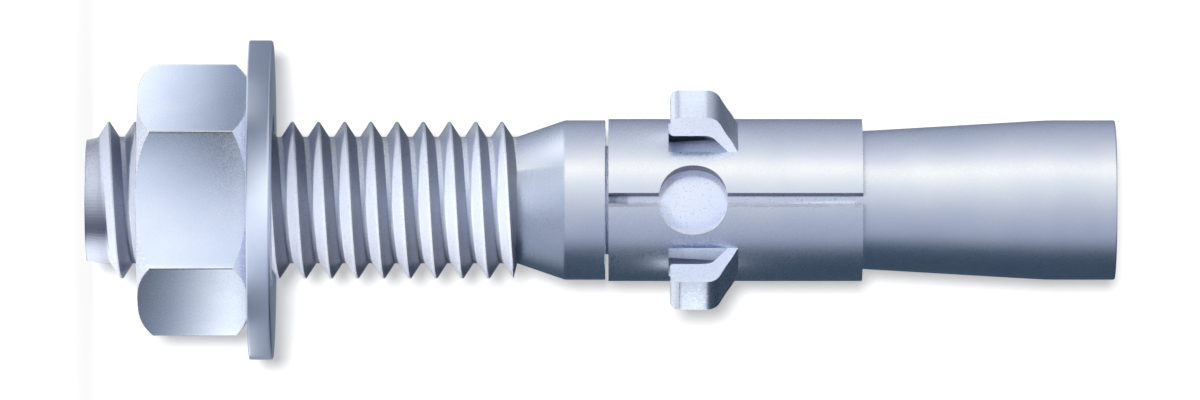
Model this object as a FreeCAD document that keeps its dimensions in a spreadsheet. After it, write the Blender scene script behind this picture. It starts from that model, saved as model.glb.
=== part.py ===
import FreeCAD, Part
import math
import os

import Sketcher

# Wedge anchor for a 3/8 inch hole, about 2 1/2 inches long: a threaded stud whose
# far end is a long cone, a hexagon nut, a flat washer and a rolled expansion clip.
# The axis is Z. The threaded end stands at Z = 0 and the cone points up. The split
# of the clip faces -Y, as do one flat of the nut and the side seen in front.

V = FreeCAD.Vector
doc = FreeCAD.newDocument("WedgeAnchor")

# Driving dimensions in millimetres, angles in degrees.
SIZES = {
    "stud_length": 62.3,
    "thread_dia": 9.49,
    "thread_length": 26.1,
    "thread_depth": 0.91,
    "end_face_dia": 7.28,
    "body_dia": 9.66,
    "transition_length": 2.9,
    "collar_length": 2.45,
    "neck_dia": 6.56,
    "tail_length": 4.15,
    "nut_start": 3.2,
    "nut_thickness": 6.67,
    "nut_flats": 14.29,
    "nut_chamfer": 0.87,
    "countersink": 0.35,
    "thread_clearance": 0.1,
    "washer_thickness": 1.45,
    "washer_dia": 19.35,
    "washer_clearance": 0.83,
    "clip_gap": 0.18,
    "clip_length": 15.35,
    "clip_wall": 0.7,
    "clip_clearance": 0.03,
    "split_outer": 0.85,
    "split_inner": 0.42,
    "hole_place": 5.1,
    "hole_dia": 4.17,
    "hole_half_angle": 25.2,
    "ear_angle": 53.0,
    "ear_width": 2.78,
    "ear_reach": 7.24,
    "ear_thickness": 1.36,
    "ear_start": 3.73,
    "ear_flat": 2.75,
    "ear_ramp": 1.6,
    "ear_bend_rise": 0.72,
    "ear_bend_drop": 1.44,
    "ear_bend_radius": 1.2,
    "ear_lead": 0.3,
    "ear_foot": 0.45,
    "ear_corner": 0.6,
    "ear_inner_corner": 0.18,
    "window_kerf": 0.03,
    "window_end_gap": 0.1,
}

sheet = doc.addObject("Spreadsheet::Sheet", "Sizes")
for row, (alias, number) in enumerate(SIZES.items(), start=1):
    sheet.set("A%d" % row, alias)
    sheet.set("B%d" % row, str(number))
    sheet.setAlias("B%d" % row, alias)
doc.recompute()


def expression(words):
    """The text with the name of the sheet put before each alias."""
    for alias in sorted(SIZES, key=len, reverse=True):
        words = words.replace("<%s>" % alias, "Sizes.%s" % alias)
    return words


def value(words):
    """What a formula of aliases in angle brackets comes to."""
    result = sheet.evalExpression(expression(words))
    return float(getattr(result, "Value", result))


# Places along the axis and radii that several pieces share.
THREAD_R = "<thread_dia> / 2"
ROOT_R = "(<thread_dia> / 2 - <thread_depth>)"
BODY_R = "<body_dia> / 2"
NECK_R = "<neck_dia> / 2"
NUT_CORNER_R = "(<nut_flats> / 2 / cos(30))"
COLLAR_START = "(<thread_length> + <transition_length>)"
COLLAR_END = "(<thread_length> + <transition_length> + <collar_length>)"
TAPER_END = "(<stud_length> - <tail_length>)"
NUT_END = "(<nut_start> + <nut_thickness>)"
WASHER_END = "(%s + <washer_thickness>)" % NUT_END
CLIP_START = "(%s + <clip_gap>)" % COLLAR_END
CLIP_END = "(%s + <clip_length>)" % CLIP_START
# The clip is rolled to just clear the cone where its far end comes.
CONE_SHARE = "((%s - %s) / (%s - %s))" % (CLIP_END, COLLAR_END, TAPER_END, COLLAR_END)
CLIP_INNER_R = "(%s + (%s - %s) * %s + <clip_clearance>)" % (NECK_R, BODY_R, NECK_R, CONE_SHARE)
CLIP_OUTER_R = "(%s + <clip_wall>)" % CLIP_INNER_R


def new_body(label):
    body = doc.addObject("PartDesign::Body", label)
    body.Label = label
    return body


def origin_plane(body, role):
    return next(item for item in body.Origin.OriginFeatures if item.Role == role)


def new_sketch(body, name, role, lift="0", turn="0"):
    """A sketch on one of the body's own origin planes, lifted off it or turned about the sketch's Y axis."""
    sketch = body.newObject("Sketcher::SketchObject", name)
    sketch.AttachmentSupport = [(origin_plane(body, role), "")]
    sketch.MapMode = "FlatFace"
    rotation = FreeCAD.Rotation(V(0, 1, 0), value(turn))
    sketch.AttachmentOffset = FreeCAD.Placement(V(0, 0, value(lift)), rotation)
    if lift != "0":
        sketch.setExpression(".AttachmentOffset.Base.z", expression(lift))
    if turn != "0":
        sketch.setExpression(".AttachmentOffset.Rotation.Angle", expression(turn))
    return sketch


def dimension(sketch, kind, *place_and_words):
    """One driving dimension of a sketch, bound to a formula."""
    *place, words = place_and_words
    index = sketch.addConstraint(Sketcher.Constraint(kind, *place, value(words)))
    sketch.setExpression("Constraints[%d]" % index, expression(words))


def polygon(sketch, corners):
    """A closed outline whose corners are pairs of formulas."""
    points = [V(value(across), value(along), 0) for across, along in corners]
    count = len(points)
    for index in range(count):
        sketch.addGeometry(Part.LineSegment(points[index], points[(index + 1) % count]))
    for index in range(count):
        sketch.addConstraint(Sketcher.Constraint("Coincident", index, 2, (index + 1) % count, 1))
    for index, (across, along) in enumerate(corners):
        dimension(sketch, "DistanceX", -1, 1, index, 1, across)
        dimension(sketch, "DistanceY", -1, 1, index, 1, along)


def ellipse(sketch, centre_along, across_r, along_r):
    """A closed ellipse about the sketch's Y axis, drawn as four quarters."""
    middle, half_width, half_height = value(centre_along), value(across_r), value(along_r)
    tops = [(1, 0), (0, 1), (-1, 0), (0, -1)]
    points = [V(half_width * across, middle + half_height * along, 0) for across, along in tops]
    wide = half_width >= half_height
    shape = Part.Ellipse(points[0 if wide else 1], points[1 if wide else 0], V(0, middle, 0))
    for index in range(4):
        first = shape.parameter(points[index])
        last = shape.parameter(points[(index + 1) % 4])
        if shape.Axis.z < 0:
            first, last = last, first
        last += 2 * math.pi if last < first else 0
        sketch.addGeometry(Part.ArcOfEllipse(shape, first, last))


def pad(body, name, sketch, length, kind="PartDesign::Pad", middle=False):
    """A sketch's shape carried along its normal, or both ways from it."""
    feature = body.newObject(kind, name)
    feature.Profile = sketch
    feature.Length = value(length)
    feature.setExpression("Length", expression(length))
    feature.SideType = "Symmetric" if middle else "One side"
    return feature


def round_corner(sketch, corner, radius):
    """An arc in place of an outline's corner, whose own dimensions stay with the corner point."""
    sketch.fillet(corner, 1, value(radius), True, True)
    arc = sketch.GeometryCount - 2
    for index in (arc, arc + 1):
        if isinstance(sketch.Geometry[index], Part.ArcOfCircle):
            dimension(sketch, "Radius", index, radius)


def revolve(body, name, corners, kind="PartDesign::Revolution"):
    """A ring or bar turned about Z from an outline of radii and heights."""
    sketch = new_sketch(body, name + "Outline", "XZ_Plane")
    polygon(sketch, corners)
    feature = body.newObject(kind, name)
    feature.Profile = sketch
    feature.ReferenceAxis = (sketch, ["V_Axis"])
    feature.Angle = 360
    return feature


def make_stud():
    """Stud with a threaded length, a collar, and a cone that the clip rides up."""
    body = new_body("stud")
    # The threaded length is plain, as thick as the crests, and narrows to the roots where it ends.
    end_chamfer = "(<thread_dia> - <end_face_dia>) / 2"
    revolve(body, "StudBlank", [
        ("0", "0"),
        ("<end_face_dia> / 2", "0"),
        (THREAD_R, end_chamfer),
        (THREAD_R, "<thread_length> - <thread_depth>"),
        (ROOT_R, "<thread_length>"),
        (BODY_R, COLLAR_START),
        (BODY_R, COLLAR_END),
        (NECK_R, COLLAR_END),
        (BODY_R, TAPER_END),
        (BODY_R, "<stud_length>"),
        ("0", "<stud_length>"),
    ])
    return body


def make_nut():
    """Hexagon nut, chamfered on both faces, run up to the washer."""
    body = new_body("hex_nut")
    sketch = new_sketch(body, "NutHexagon", "XY_Plane", lift="<nut_start>")
    polygon(sketch, [
        ("%s * cos(%d)" % (NUT_CORNER_R, angle), "%s * sin(%d)" % (NUT_CORNER_R, angle))
        for angle in range(0, 360, 60)
    ])
    pad(body, "NutBlank", sketch, "<nut_thickness>")
    doc.recompute()
    beyond = "(%s + <nut_chamfer>)" % NUT_CORNER_R
    rise = "(<nut_chamfer> + <nut_chamfer> * <nut_chamfer> / (%s - <nut_flats> / 2))" % NUT_CORNER_R
    for name, face, way in (("NutOuterChamfer", "<nut_start>", 1), ("NutInnerChamfer", NUT_END, -1)):
        revolve(body, name, [
            ("<nut_flats> / 2", face),
            (beyond, face),
            (beyond, "%s + %d * %s" % (face, way, rise)),
        ], "PartDesign::Groove")
    bore = "(%s + <thread_clearance>)" % THREAD_R
    revolve(body, "NutBore", [
        ("0", "<nut_start>"),
        (bore + " + <countersink>", "<nut_start>"),
        (bore, "<nut_start> + <countersink>"),
        (bore, "%s - <countersink>" % NUT_END),
        (bore + " + <countersink>", NUT_END),
        ("0", NUT_END),
    ], "PartDesign::Groove")
    return body


def make_washer():
    """Flat washer that the nut presses on the fixture."""
    body = new_body("flat_washer")
    bore_r = "(<thread_dia> + <washer_clearance>) / 2"
    revolve(body, "WasherRing", [
        (bore_r, NUT_END),
        ("<washer_dia> / 2", NUT_END),
        ("<washer_dia> / 2", WASHER_END),
        (bore_r, WASHER_END),
    ])
    return body


def cut_split(body):
    """The lengthwise slot where the rolled strip's two edges face each other."""
    sketch = new_sketch(body, "SplitShape", "XY_Plane", lift=CLIP_START)
    outer_y = "-(%s + <clip_wall>)" % CLIP_OUTER_R
    inner_y = "-(%s - <clip_wall>)" % CLIP_INNER_R
    spread = "(<split_outer> - <split_inner>) / 2"
    polygon(sketch, [
        ("<split_outer> / 2 + %s" % spread, outer_y),
        ("-(<split_outer> / 2 + %s)" % spread, outer_y),
        ("-(<split_inner> / 2 - %s)" % spread, inner_y),
        ("<split_inner> / 2 - %s" % spread, inner_y),
    ])
    split = pad(body, "Split", sketch, "<clip_length>", kind="PartDesign::Pocket")
    split.Reversed = True


def cut_hole(body):
    """The round hole on the split, punched in the flat strip, so its wall points at the axis."""
    rings = []
    for name, depth in (("HoleInside", "(%s - <clip_wall>)" % CLIP_INNER_R),
                        ("HoleOutside", "(%s + <clip_wall>)" % CLIP_OUTER_R)):
        sketch = new_sketch(body, name, "XZ_Plane", lift=depth)
        ellipse(sketch, "%s + <hole_place>" % CLIP_START,
                "%s * tan(<hole_half_angle>)" % depth, "<hole_dia> / 2")
        rings.append(sketch)
    loft = body.newObject("PartDesign::SubtractiveLoft", "Hole")
    loft.Profile = rings[0]
    loft.Sections = rings[1:]
    loft.Ruled = True


def add_ears(body):
    """Two ears, each lanced on three sides, lifted clear of the tube and bent back level."""
    turn = "270 - <ear_angle>"
    low = "(%s + <ear_start>)" % CLIP_START
    wall_middle = "((%s + %s) / 2)" % (CLIP_INNER_R, CLIP_OUTER_R)
    ramp_foot = "(%s + <ear_flat> + <ear_ramp>)" % low

    sketch = new_sketch(body, "WindowShape", "XZ_Plane", turn=turn)
    floor = "(%s - <clip_wall>)" % CLIP_INNER_R
    roof = "(%s + <clip_wall> / 2)" % CLIP_OUTER_R
    start = "%s - <window_end_gap>" % low
    end = "%s - <ear_foot>" % ramp_foot
    polygon(sketch, [(floor, start), (roof, start), (roof, end), (floor, end)])
    window = pad(body, "Window", sketch, "<ear_width> + 2 * <window_kerf>",
                 kind="PartDesign::Pocket", middle=True)
    doc.recompute()

    under = "(<ear_reach> - <ear_thickness>)"
    sketch = new_sketch(body, "EarShape", "XZ_Plane", turn=turn)
    polygon(sketch, [
        (under, low),
        ("<ear_reach>", low),
        ("<ear_reach>", "%s + <ear_flat>" % low),
        ("<ear_reach> - <ear_bend_drop>", "%s + <ear_flat> + <ear_bend_rise>" % low),
        (wall_middle, ramp_foot),
        (wall_middle, "%s - <ear_foot>" % ramp_foot),
        (under, "%s + <ear_flat> - <ear_lead>" % low),
    ])
    rounds = ["<ear_inner_corner>", "<ear_corner>", "<ear_corner>", "<ear_bend_radius>"]
    for corner, radius in enumerate(rounds):
        round_corner(sketch, corner, radius)
    ear = pad(body, "Ear", sketch, "<ear_width>", middle=True)
    doc.recompute()

    mirror = body.newObject("PartDesign::Mirrored", "SecondEar")
    mirror.Originals = [window, ear]
    mirror.MirrorPlane = (origin_plane(body, "YZ_Plane"), [""])
    body.Tip = mirror


def make_clip():
    """Expansion clip rolled from one strip, with a split, a hole on it and two ears."""
    body = new_body("expansion_clip")
    revolve(body, "ClipTube", [
        (CLIP_INNER_R, CLIP_START),
        (CLIP_OUTER_R, CLIP_START),
        (CLIP_OUTER_R, CLIP_END),
        (CLIP_INNER_R, CLIP_END),
    ])
    doc.recompute()
    cut_split(body)
    doc.recompute()
    cut_hole(body)
    doc.recompute()
    add_ears(body)
    doc.recompute()
    return body


def main():
    bodies = [make_stud(), make_nut(), make_washer(), make_clip()]
    doc.recompute()
    for item in doc.Objects:
        if "Invalid" in item.State or "Error" in item.State:
            raise RuntimeError("%s failed: %s" % (item.Name, item.State))
    os.makedirs("parts", exist_ok=True)
    for body in bodies:
        shape = body.Shape
        if shape.isNull() or not shape.isValid():
            raise RuntimeError("%s has no valid shape" % body.Label)
        shape.exportStep("parts/%s.step" % body.Label)
        print(body.Label, round(shape.Volume, 3), len(shape.Solids), shape.BoundBox)


main()
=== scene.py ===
import bpy
import numpy as np
from mathutils import Matrix, Vector


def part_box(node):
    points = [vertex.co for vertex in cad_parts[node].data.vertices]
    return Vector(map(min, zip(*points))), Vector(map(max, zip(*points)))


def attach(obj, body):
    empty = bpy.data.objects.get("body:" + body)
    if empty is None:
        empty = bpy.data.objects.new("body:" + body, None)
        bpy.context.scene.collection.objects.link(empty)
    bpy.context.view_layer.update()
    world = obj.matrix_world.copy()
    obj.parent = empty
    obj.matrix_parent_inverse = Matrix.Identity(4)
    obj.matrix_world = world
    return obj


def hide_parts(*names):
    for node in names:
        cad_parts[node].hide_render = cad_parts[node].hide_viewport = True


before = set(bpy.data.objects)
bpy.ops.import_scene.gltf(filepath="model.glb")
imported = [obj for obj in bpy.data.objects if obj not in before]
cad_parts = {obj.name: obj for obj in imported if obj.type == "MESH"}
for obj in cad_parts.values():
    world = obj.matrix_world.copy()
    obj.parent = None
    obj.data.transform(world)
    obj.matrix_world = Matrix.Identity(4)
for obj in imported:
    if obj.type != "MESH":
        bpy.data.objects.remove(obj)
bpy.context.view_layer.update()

bl_info = {
    "name": "Wedge Anchor",
    "version": (1, 0, 0),
    "blender": (4, 5, 0),
    "location": "View3D > Sidebar > Wedge Anchor",
    "description": "Builds a zinc plated wedge anchor: threaded stud, nut, washer and expansion clip",
    "category": "Add Mesh",
}

# The axis is Z. The threaded end stands at Z = 0, the split of the clip faces -Y.
MM = 0.001
TURN = 2 * np.pi
# Corners that are closer than this, in metres, count as one.
TINY = 1e-8
STUD_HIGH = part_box("stud")[1]
NUT_LOW, NUT_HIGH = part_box("hex_nut")
WASHER_LOW, WASHER_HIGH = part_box("flat_washer")
CLIP_LOW, CLIP_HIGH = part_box("expansion_clip")


def length_setting(name, description, default):
    """A length in metres that a user would change."""
    return bpy.props.FloatProperty(
        name=name, description=description, default=default, unit="LENGTH", precision=5)


def angle_setting(name, description, default):
    """An angle in radians that a user would change."""
    return bpy.props.FloatProperty(name=name, description=description, default=default, subtype="ANGLE")


def colour_setting(name, description, default):
    """A colour that a user would change."""
    return bpy.props.FloatVectorProperty(
        name=name, description=description, default=default, subtype="COLOR", size=4, min=0, max=1)


class StudSizes(bpy.types.PropertyGroup):
    length: length_setting("Length", "From the threaded end to the end of the cone", STUD_HIGH.z)
    pitch: length_setting("Pitch", "Rise of the thread in one turn", 1.5875 * MM)
    crest_radius: length_setting("Crest radius", "From the axis to the top of the thread", 4.745 * MM)
    root_radius: length_setting("Root radius", "From the axis to the bottom of the thread", 3.835 * MM)
    crest_height: length_setting(
        "Crest height", "Height of one crest on the -X side, which sets where the thread starts", 12.47 * MM)
    end_radius: length_setting("End radius", "Radius of the flat face at the threaded end", 3.64 * MM)
    thread_end: length_setting("Thread end", "Height at which the thread stops", 26.1 * MM)
    body_radius: length_setting(
        "Body radius", "Radius of the collar and of the thick end of the cone", STUD_HIGH.x)
    neck_radius: length_setting("Neck radius", "Radius of the thin end of the cone", 3.28 * MM)
    collar_start: length_setting("Collar start", "Height at which the collar starts", 29.0 * MM)
    collar_end: length_setting(
        "Collar end", "Height at which the collar steps down to the neck", 31.45 * MM)
    taper_end: length_setting("Taper end", "Height at which the cone has its full radius", 58.15 * MM)


class NutSizes(bpy.types.PropertyGroup):
    flats: length_setting("Across flats", "Distance between two opposite sides", 14.29 * MM)
    start: length_setting("Start", "Height of the face that looks at the threaded end", NUT_LOW.z)
    end: length_setting("End", "Height of the face on the washer", NUT_HIGH.z)
    chamfer: length_setting("Chamfer", "Height of the chamfer at a corner", 0.87 * MM)
    corner_radius: length_setting("Corner radius", "Rounding of the six upright edges", 0.22 * MM)
    clearance: length_setting("Clearance", "Room between the threads of nut and stud", 0.1 * MM)
    countersink: length_setting("Countersink", "How much wider the bore is at both faces", 0.35 * MM)


class WasherSizes(bpy.types.PropertyGroup):
    bore_radius: length_setting("Bore radius", "Radius of the hole", 5.16 * MM)
    radius: length_setting("Radius", "Radius of the rim", WASHER_HIGH.x)


class ClipSizes(bpy.types.PropertyGroup):
    inner_radius: length_setting("Inner radius", "Inner radius of the rolled tube", 4.2116 * MM)
    wall: length_setting("Wall", "Thickness of the strip", 0.7 * MM)
    split_outer: length_setting("Split outside", "Width of the split on the outside", 0.85 * MM)
    split_inner: length_setting("Split inside", "Width of the split on the inside", 0.42 * MM)
    hole_height: length_setting("Hole height", "Height of the middle of the hole", 36.73 * MM)
    hole_radius: length_setting("Hole radius", "Half height of the hole", 2.085 * MM)
    hole_angle: angle_setting(
        "Hole half angle", "Half of the angle that the hole takes round the axis", np.radians(25.2))
    window_start: length_setting("Window start", "Height at which the two windows start", 35.26 * MM)
    window_end: length_setting("Window end", "Height at which the ears leave the tube", 39.46 * MM)
    ear_angle: angle_setting("Ear angle", "Angle of each ear from the split", np.radians(53.0))
    ear_width: length_setting("Ear width", "Width of an ear round the clip", 2.78 * MM)
    ear_reach: length_setting("Ear reach", "From the axis to the top of an ear", 7.24 * MM)
    ear_under: length_setting("Ear underside", "From the axis to the underside of an ear", 5.88 * MM)
    ear_tip: length_setting("Ear tip", "Height of an ear's free end", 35.36 * MM)
    ear_bend: length_setting("Ear bend", "Height at which an ear starts to slope to the tube", 38.11 * MM)


class FinishColours(bpy.types.PropertyGroup):
    zinc: colour_setting("Zinc", "Main colour of the zinc plate", (0.600, 0.672, 0.850, 1.0))
    zinc_pale: colour_setting(
        "Pale zinc", "Colour of the paler clouds in the plate", (0.645, 0.712, 0.870, 1.0))
    # This colour is real wear on crests and edges, and also painted light on the thread's roots, on the neck
    # under the clip and on the clip's lit cut edges.
    zinc_worn_and_lit: colour_setting(
        "Rubbed and lit zinc", "Colour where crests and edges are rubbed bright, also used for painted light", (0.830, 0.850, 0.900, 1.0))
    # This colour is painted shade: on the thread's upper flanks, its roots and the band at its end, under the
    # clip, in the nut's bore and on the clip's shaded cut edges.
    zinc_painted_shade: colour_setting(
        "Painted shade zinc", "Colour of the painted shade on the thread, in the nut's bore and on the clip's cut edges", (0.060, 0.070, 0.130, 1.0))


class StageSizes(bpy.types.PropertyGroup):
    floor_radius: length_setting("Floor radius", "Radius of the pale floor disc", 32 * MM)
    tent_radius: length_setting("Tent radius", "Radius of the light tent round the object", 150 * MM)
    view_width: length_setting("View width", "Width that the camera shows at the axis", 72.72 * MM)
    view_height: length_setting("View height", "Height at which the camera looks", 31.12 * MM)


# Shapes: every surface is an array of points in metres and an array of quads.

# How many columns go once round the turned surfaces.
STUD_COLUMNS = 112
WASHER_COLUMNS = 144
FLOOR_COLUMNS = 96
TENT_COLUMNS = 180
RING_COLUMNS = 120


def even_angles(count):
    """Angles once round, evenly spaced."""
    return np.arange(count) * TURN / count


def polar(radius, angle, height):
    """Points from a radius and an angle about Z and a height: (r cos a, r sin a, z)."""
    parts = np.broadcast_arrays(radius * np.cos(angle), radius * np.sin(angle), height)
    return np.stack(parts, axis=-1).astype(float)


def quads_between(rows, columns, closed, flip=False, climb=0):
    """Quads between neighbouring rows of points. Where rows close round Z, the last point of one meets the
    first of the row that is climb later. They face out where rows rise and columns turn left round Z, unless
    flipped."""
    row = np.arange(rows - 1 - climb)[:, None]
    column = np.arange(columns if closed else columns - 1)[None, :]
    after = (column + 1) % columns
    later = row + np.where(column == columns - 1, climb, 0)
    corners = [row * columns + column, later * columns + after,
               (later + 1) * columns + after, (row + 1) * columns + column]
    quads = np.stack(corners, axis=-1).reshape(-1, 4)
    return quads[:, ::-1] if flip else quads


def grid(points, closed=False, flip=False):
    """A surface from a grid of points, as flat points and quads."""
    rows, columns = points.shape[:2]
    return points.reshape(-1, 3), quads_between(rows, columns, closed, flip)


def turned(profile, angles, flip=False):
    """A profile of (radius, height) carried round Z: (r cos a, r sin a, z)."""
    profile = np.asarray(profile, float)
    return grid(polar(profile[:, :1], angles[None, :], profile[:, 1:]), closed=True, flip=flip)


def between(one, two, steps, flip=False):
    """A wall of straight lines from one line of points to another: (1 - t) one + t two."""
    share = np.linspace(0, 1, steps)[:, None, None]
    return grid((1 - share) * one[None] + share * two[None], flip=flip)


def joined(*surfaces):
    """Several surfaces as one, with the corners still apart."""
    starts = np.cumsum([0] + [len(points) for points, _ in surfaces[:-1]])
    points = np.concatenate([points for points, _ in surfaces])
    quads = np.concatenate([quads + start for (_, quads), start in zip(surfaces, starts)])
    return points, quads


def welded(points, quads):
    """Corners at one place become one. A quad that loses a corner is a triangle then, and one that loses two
    goes."""
    _, first, inverse = np.unique(np.round(points / TINY).astype(np.int64), axis=0,
                                  return_index=True, return_inverse=True)
    quads = inverse.reshape(-1)[quads]
    same = quads == np.roll(quads, -1, axis=1)
    lost = same.sum(axis=1)
    whole = quads[lost == 0]
    cut = quads[lost == 1]
    start = np.argmax(same[lost == 1], axis=1) + 1
    triangles = cut[np.arange(len(cut))[:, None], (start[:, None] + np.arange(3)) % 4]
    used, renamed = np.unique(np.concatenate([whole.ravel(), triangles.ravel()]), return_inverse=True)
    whole = renamed[:whole.size].reshape(-1, 4)
    triangles = renamed[whole.size:].reshape(-1, 3)
    return points[first][used], whole.tolist() + triangles.tolist()


def eased(profile, radii, steps=4):
    """A profile whose corners are rounded: each becomes the curve (1-t)^2 a + 2t(1-t) c + t^2 b between two
    points a and b that lie its radius away from the corner c, with one more point just outside each."""
    profile = np.asarray(profile, float)
    share = np.linspace(0, 1, steps + 1)[:, None]
    made = [profile[:1]]
    for before, corner, after, radius in zip(profile[:-2], profile[1:-1], profile[2:], radii):
        if radius == 0:
            made.append(corner[None])
            continue
        back = (before - corner) / np.linalg.norm(before - corner)
        ahead = (after - corner) / np.linalg.norm(after - corner)
        first, last = corner + back * radius, corner + ahead * radius
        curve = (1 - share) ** 2 * first + 2 * share * (1 - share) * corner + share ** 2 * last
        made += [(corner + back * radius * 1.3)[None], curve, (corner + ahead * radius * 1.3)[None]]
    made.append(profile[-1:])
    return np.concatenate(made)


def smoothed(share):
    """A share from 0 to 1 that starts and ends gently: 3 s^2 - 2 s^3."""
    return share * share * (3 - 2 * share)


def new_object(name, points, faces):
    """A mesh object at the origin, in the scene."""
    mesh = bpy.data.meshes.new(name)
    mesh.from_pydata(points.tolist(), [], faces)
    made = bpy.data.objects.new(name, mesh)
    bpy.context.scene.collection.objects.link(made)
    return made


def put(name, surface, body, node, sharp=30.0):
    """A welded surface in place of a CAD node, smooth but for edges sharper than an angle in degrees."""
    piece = new_object(name, *welded(*surface))
    mesh = piece.data
    mesh.validate()
    mesh.update()
    mesh.shade_smooth()
    mesh.set_sharp_from_angle(angle=np.radians(sharp))
    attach(piece, body)
    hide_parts(node)
    return piece


# Half of the thread's outline: distance from the middle of a crest along the axis, as a share of the pitch,
# against depth below the crest, as a share of the thread's depth. The rows of the mesh are at these
# distances, on both sides, and at three more on the flank.
THREAD_AWAY = np.array([0.0, 0.030, 0.040, 0.052, 0.390, 0.402, 0.416, 0.5])
THREAD_DEPTH = np.array([0.0, 0.0, 0.008, 0.040, 0.960, 0.985, 1.0, 1.0])
THREAD_ROWS = np.sort(np.append(THREAD_AWAY, (0.13, 0.22, 0.31)))


def thread_depth(away):
    """How deep the thread is, 0 at a crest and 1 at a root, at a distance from the crest in pitches."""
    away = np.abs(away - np.round(away))
    return np.interp(away, THREAD_AWAY, THREAD_DEPTH)


def thread_surface(sizes, angles, low, high, radius_at, flip=False):
    """A right-hand thread between two heights. Its rows climb one pitch a turn, z = row + pitch a / 2 pi, and
    are held between the two heights, where they close up into plain rings."""
    pitch = sizes.pitch
    foot = sizes.crest_height - pitch / 2
    stations = np.unique(np.concatenate([THREAD_ROWS, 1 - THREAD_ROWS]))[:-1]
    first = int(np.floor((low - foot) / pitch)) - 2
    last = int(np.ceil((high - foot) / pitch)) + 2
    rows = (foot + pitch * (np.arange(first, last)[:, None] + stations[None, :])).ravel()
    climb = pitch * angles / TURN
    height = np.clip(rows[:, None] + climb[None, :], low, high)
    away = (height - foot - climb[None, :]) / pitch
    points = polar(radius_at(away, height), angles[None, :], height)
    quads = quads_between(len(rows), len(angles), closed=True, flip=flip, climb=len(stations))
    return points.reshape(-1, 3), quads


# The clip covers the cone up to its own end. The cone's finish changes a little before that, out of sight.
COVER_END = CLIP_HIGH.z - 0.5 * MM


def stud_surface(sizes):
    """The stud: a thread between a chamfered end and a long plain rod with a collar, a neck and a cone."""
    angles = even_angles(STUD_COLUMNS)
    crest, root, body, neck = sizes.crest_radius, sizes.root_radius, sizes.body_radius, sizes.neck_radius
    lip = 0.04 * MM
    run_out = 0.22 * MM
    end_slope = 0.25
    first_crest = sizes.crest_height - 7.5 * sizes.pitch

    def radius_at(away, height):
        """Root radius plus the thread, which grows out of the end over its first half turn, but no more than
        the end chamfer and the run-out allow."""
        crest_height = height - (away - np.round(away)) * sizes.pitch
        grown = smoothed(np.clip((crest_height - first_crest) / (sizes.pitch / 2), 0, 1))
        bottom = np.minimum(root, sizes.end_radius + end_slope * height)
        thread = bottom + (crest - bottom) * grown * (1 - thread_depth(away))
        chamfer = sizes.end_radius + height
        stop = root + (sizes.thread_end - height) * (crest - root) / run_out
        return np.minimum(thread, np.minimum(chamfer, stop))

    thread = thread_surface(sizes, angles, lip, sizes.thread_end, radius_at)
    end_face = turned([(0, 0), (sizes.end_radius - lip * 1.5, 0), (sizes.end_radius - lip * 0.6, lip * 0.2),
                       (sizes.end_radius + lip, lip)], angles)
    # Three more rings on the cone, where the finish under the clip starts and ends.
    margin = 0.05 * MM
    taper = [(np.interp(height, (sizes.collar_end, sizes.taper_end), (neck, body)), height)
             for height in (sizes.collar_end + margin, COVER_END - margin, COVER_END + margin)]
    outline = eased(
        [(root, sizes.thread_end), (body, sizes.collar_start), (body, sizes.collar_end),
         (neck, sizes.collar_end), *taper, (body, sizes.taper_end), (body, sizes.length), (0, sizes.length)],
        [0.10 * MM, 0.07 * MM, 0, 0, 0, 0, 0.60 * MM, 0.09 * MM])
    return joined(end_face, thread, turned(outline, angles))


def hexagon_radius(angles, flats, corner):
    """Radius of a hexagon with corners at 0, 60 ... degrees, each rounded by an arc about a point on its
    diagonal."""
    from_corner = np.abs((angles + np.pi / 6) % (np.pi / 3) - np.pi / 6)
    side = flats / 2 / np.cos(np.pi / 6 - from_corner)
    centre = (flats / 2 - corner) / np.cos(np.pi / 6)
    meets = np.arctan2(corner * np.sin(np.pi / 6), centre + corner * np.cos(np.pi / 6))
    inside = np.maximum(corner ** 2 - (centre * np.sin(from_corner)) ** 2, 0)
    arc = centre * np.cos(from_corner) + np.sqrt(inside)
    return np.where(from_corner < meets, arc, side)


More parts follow.
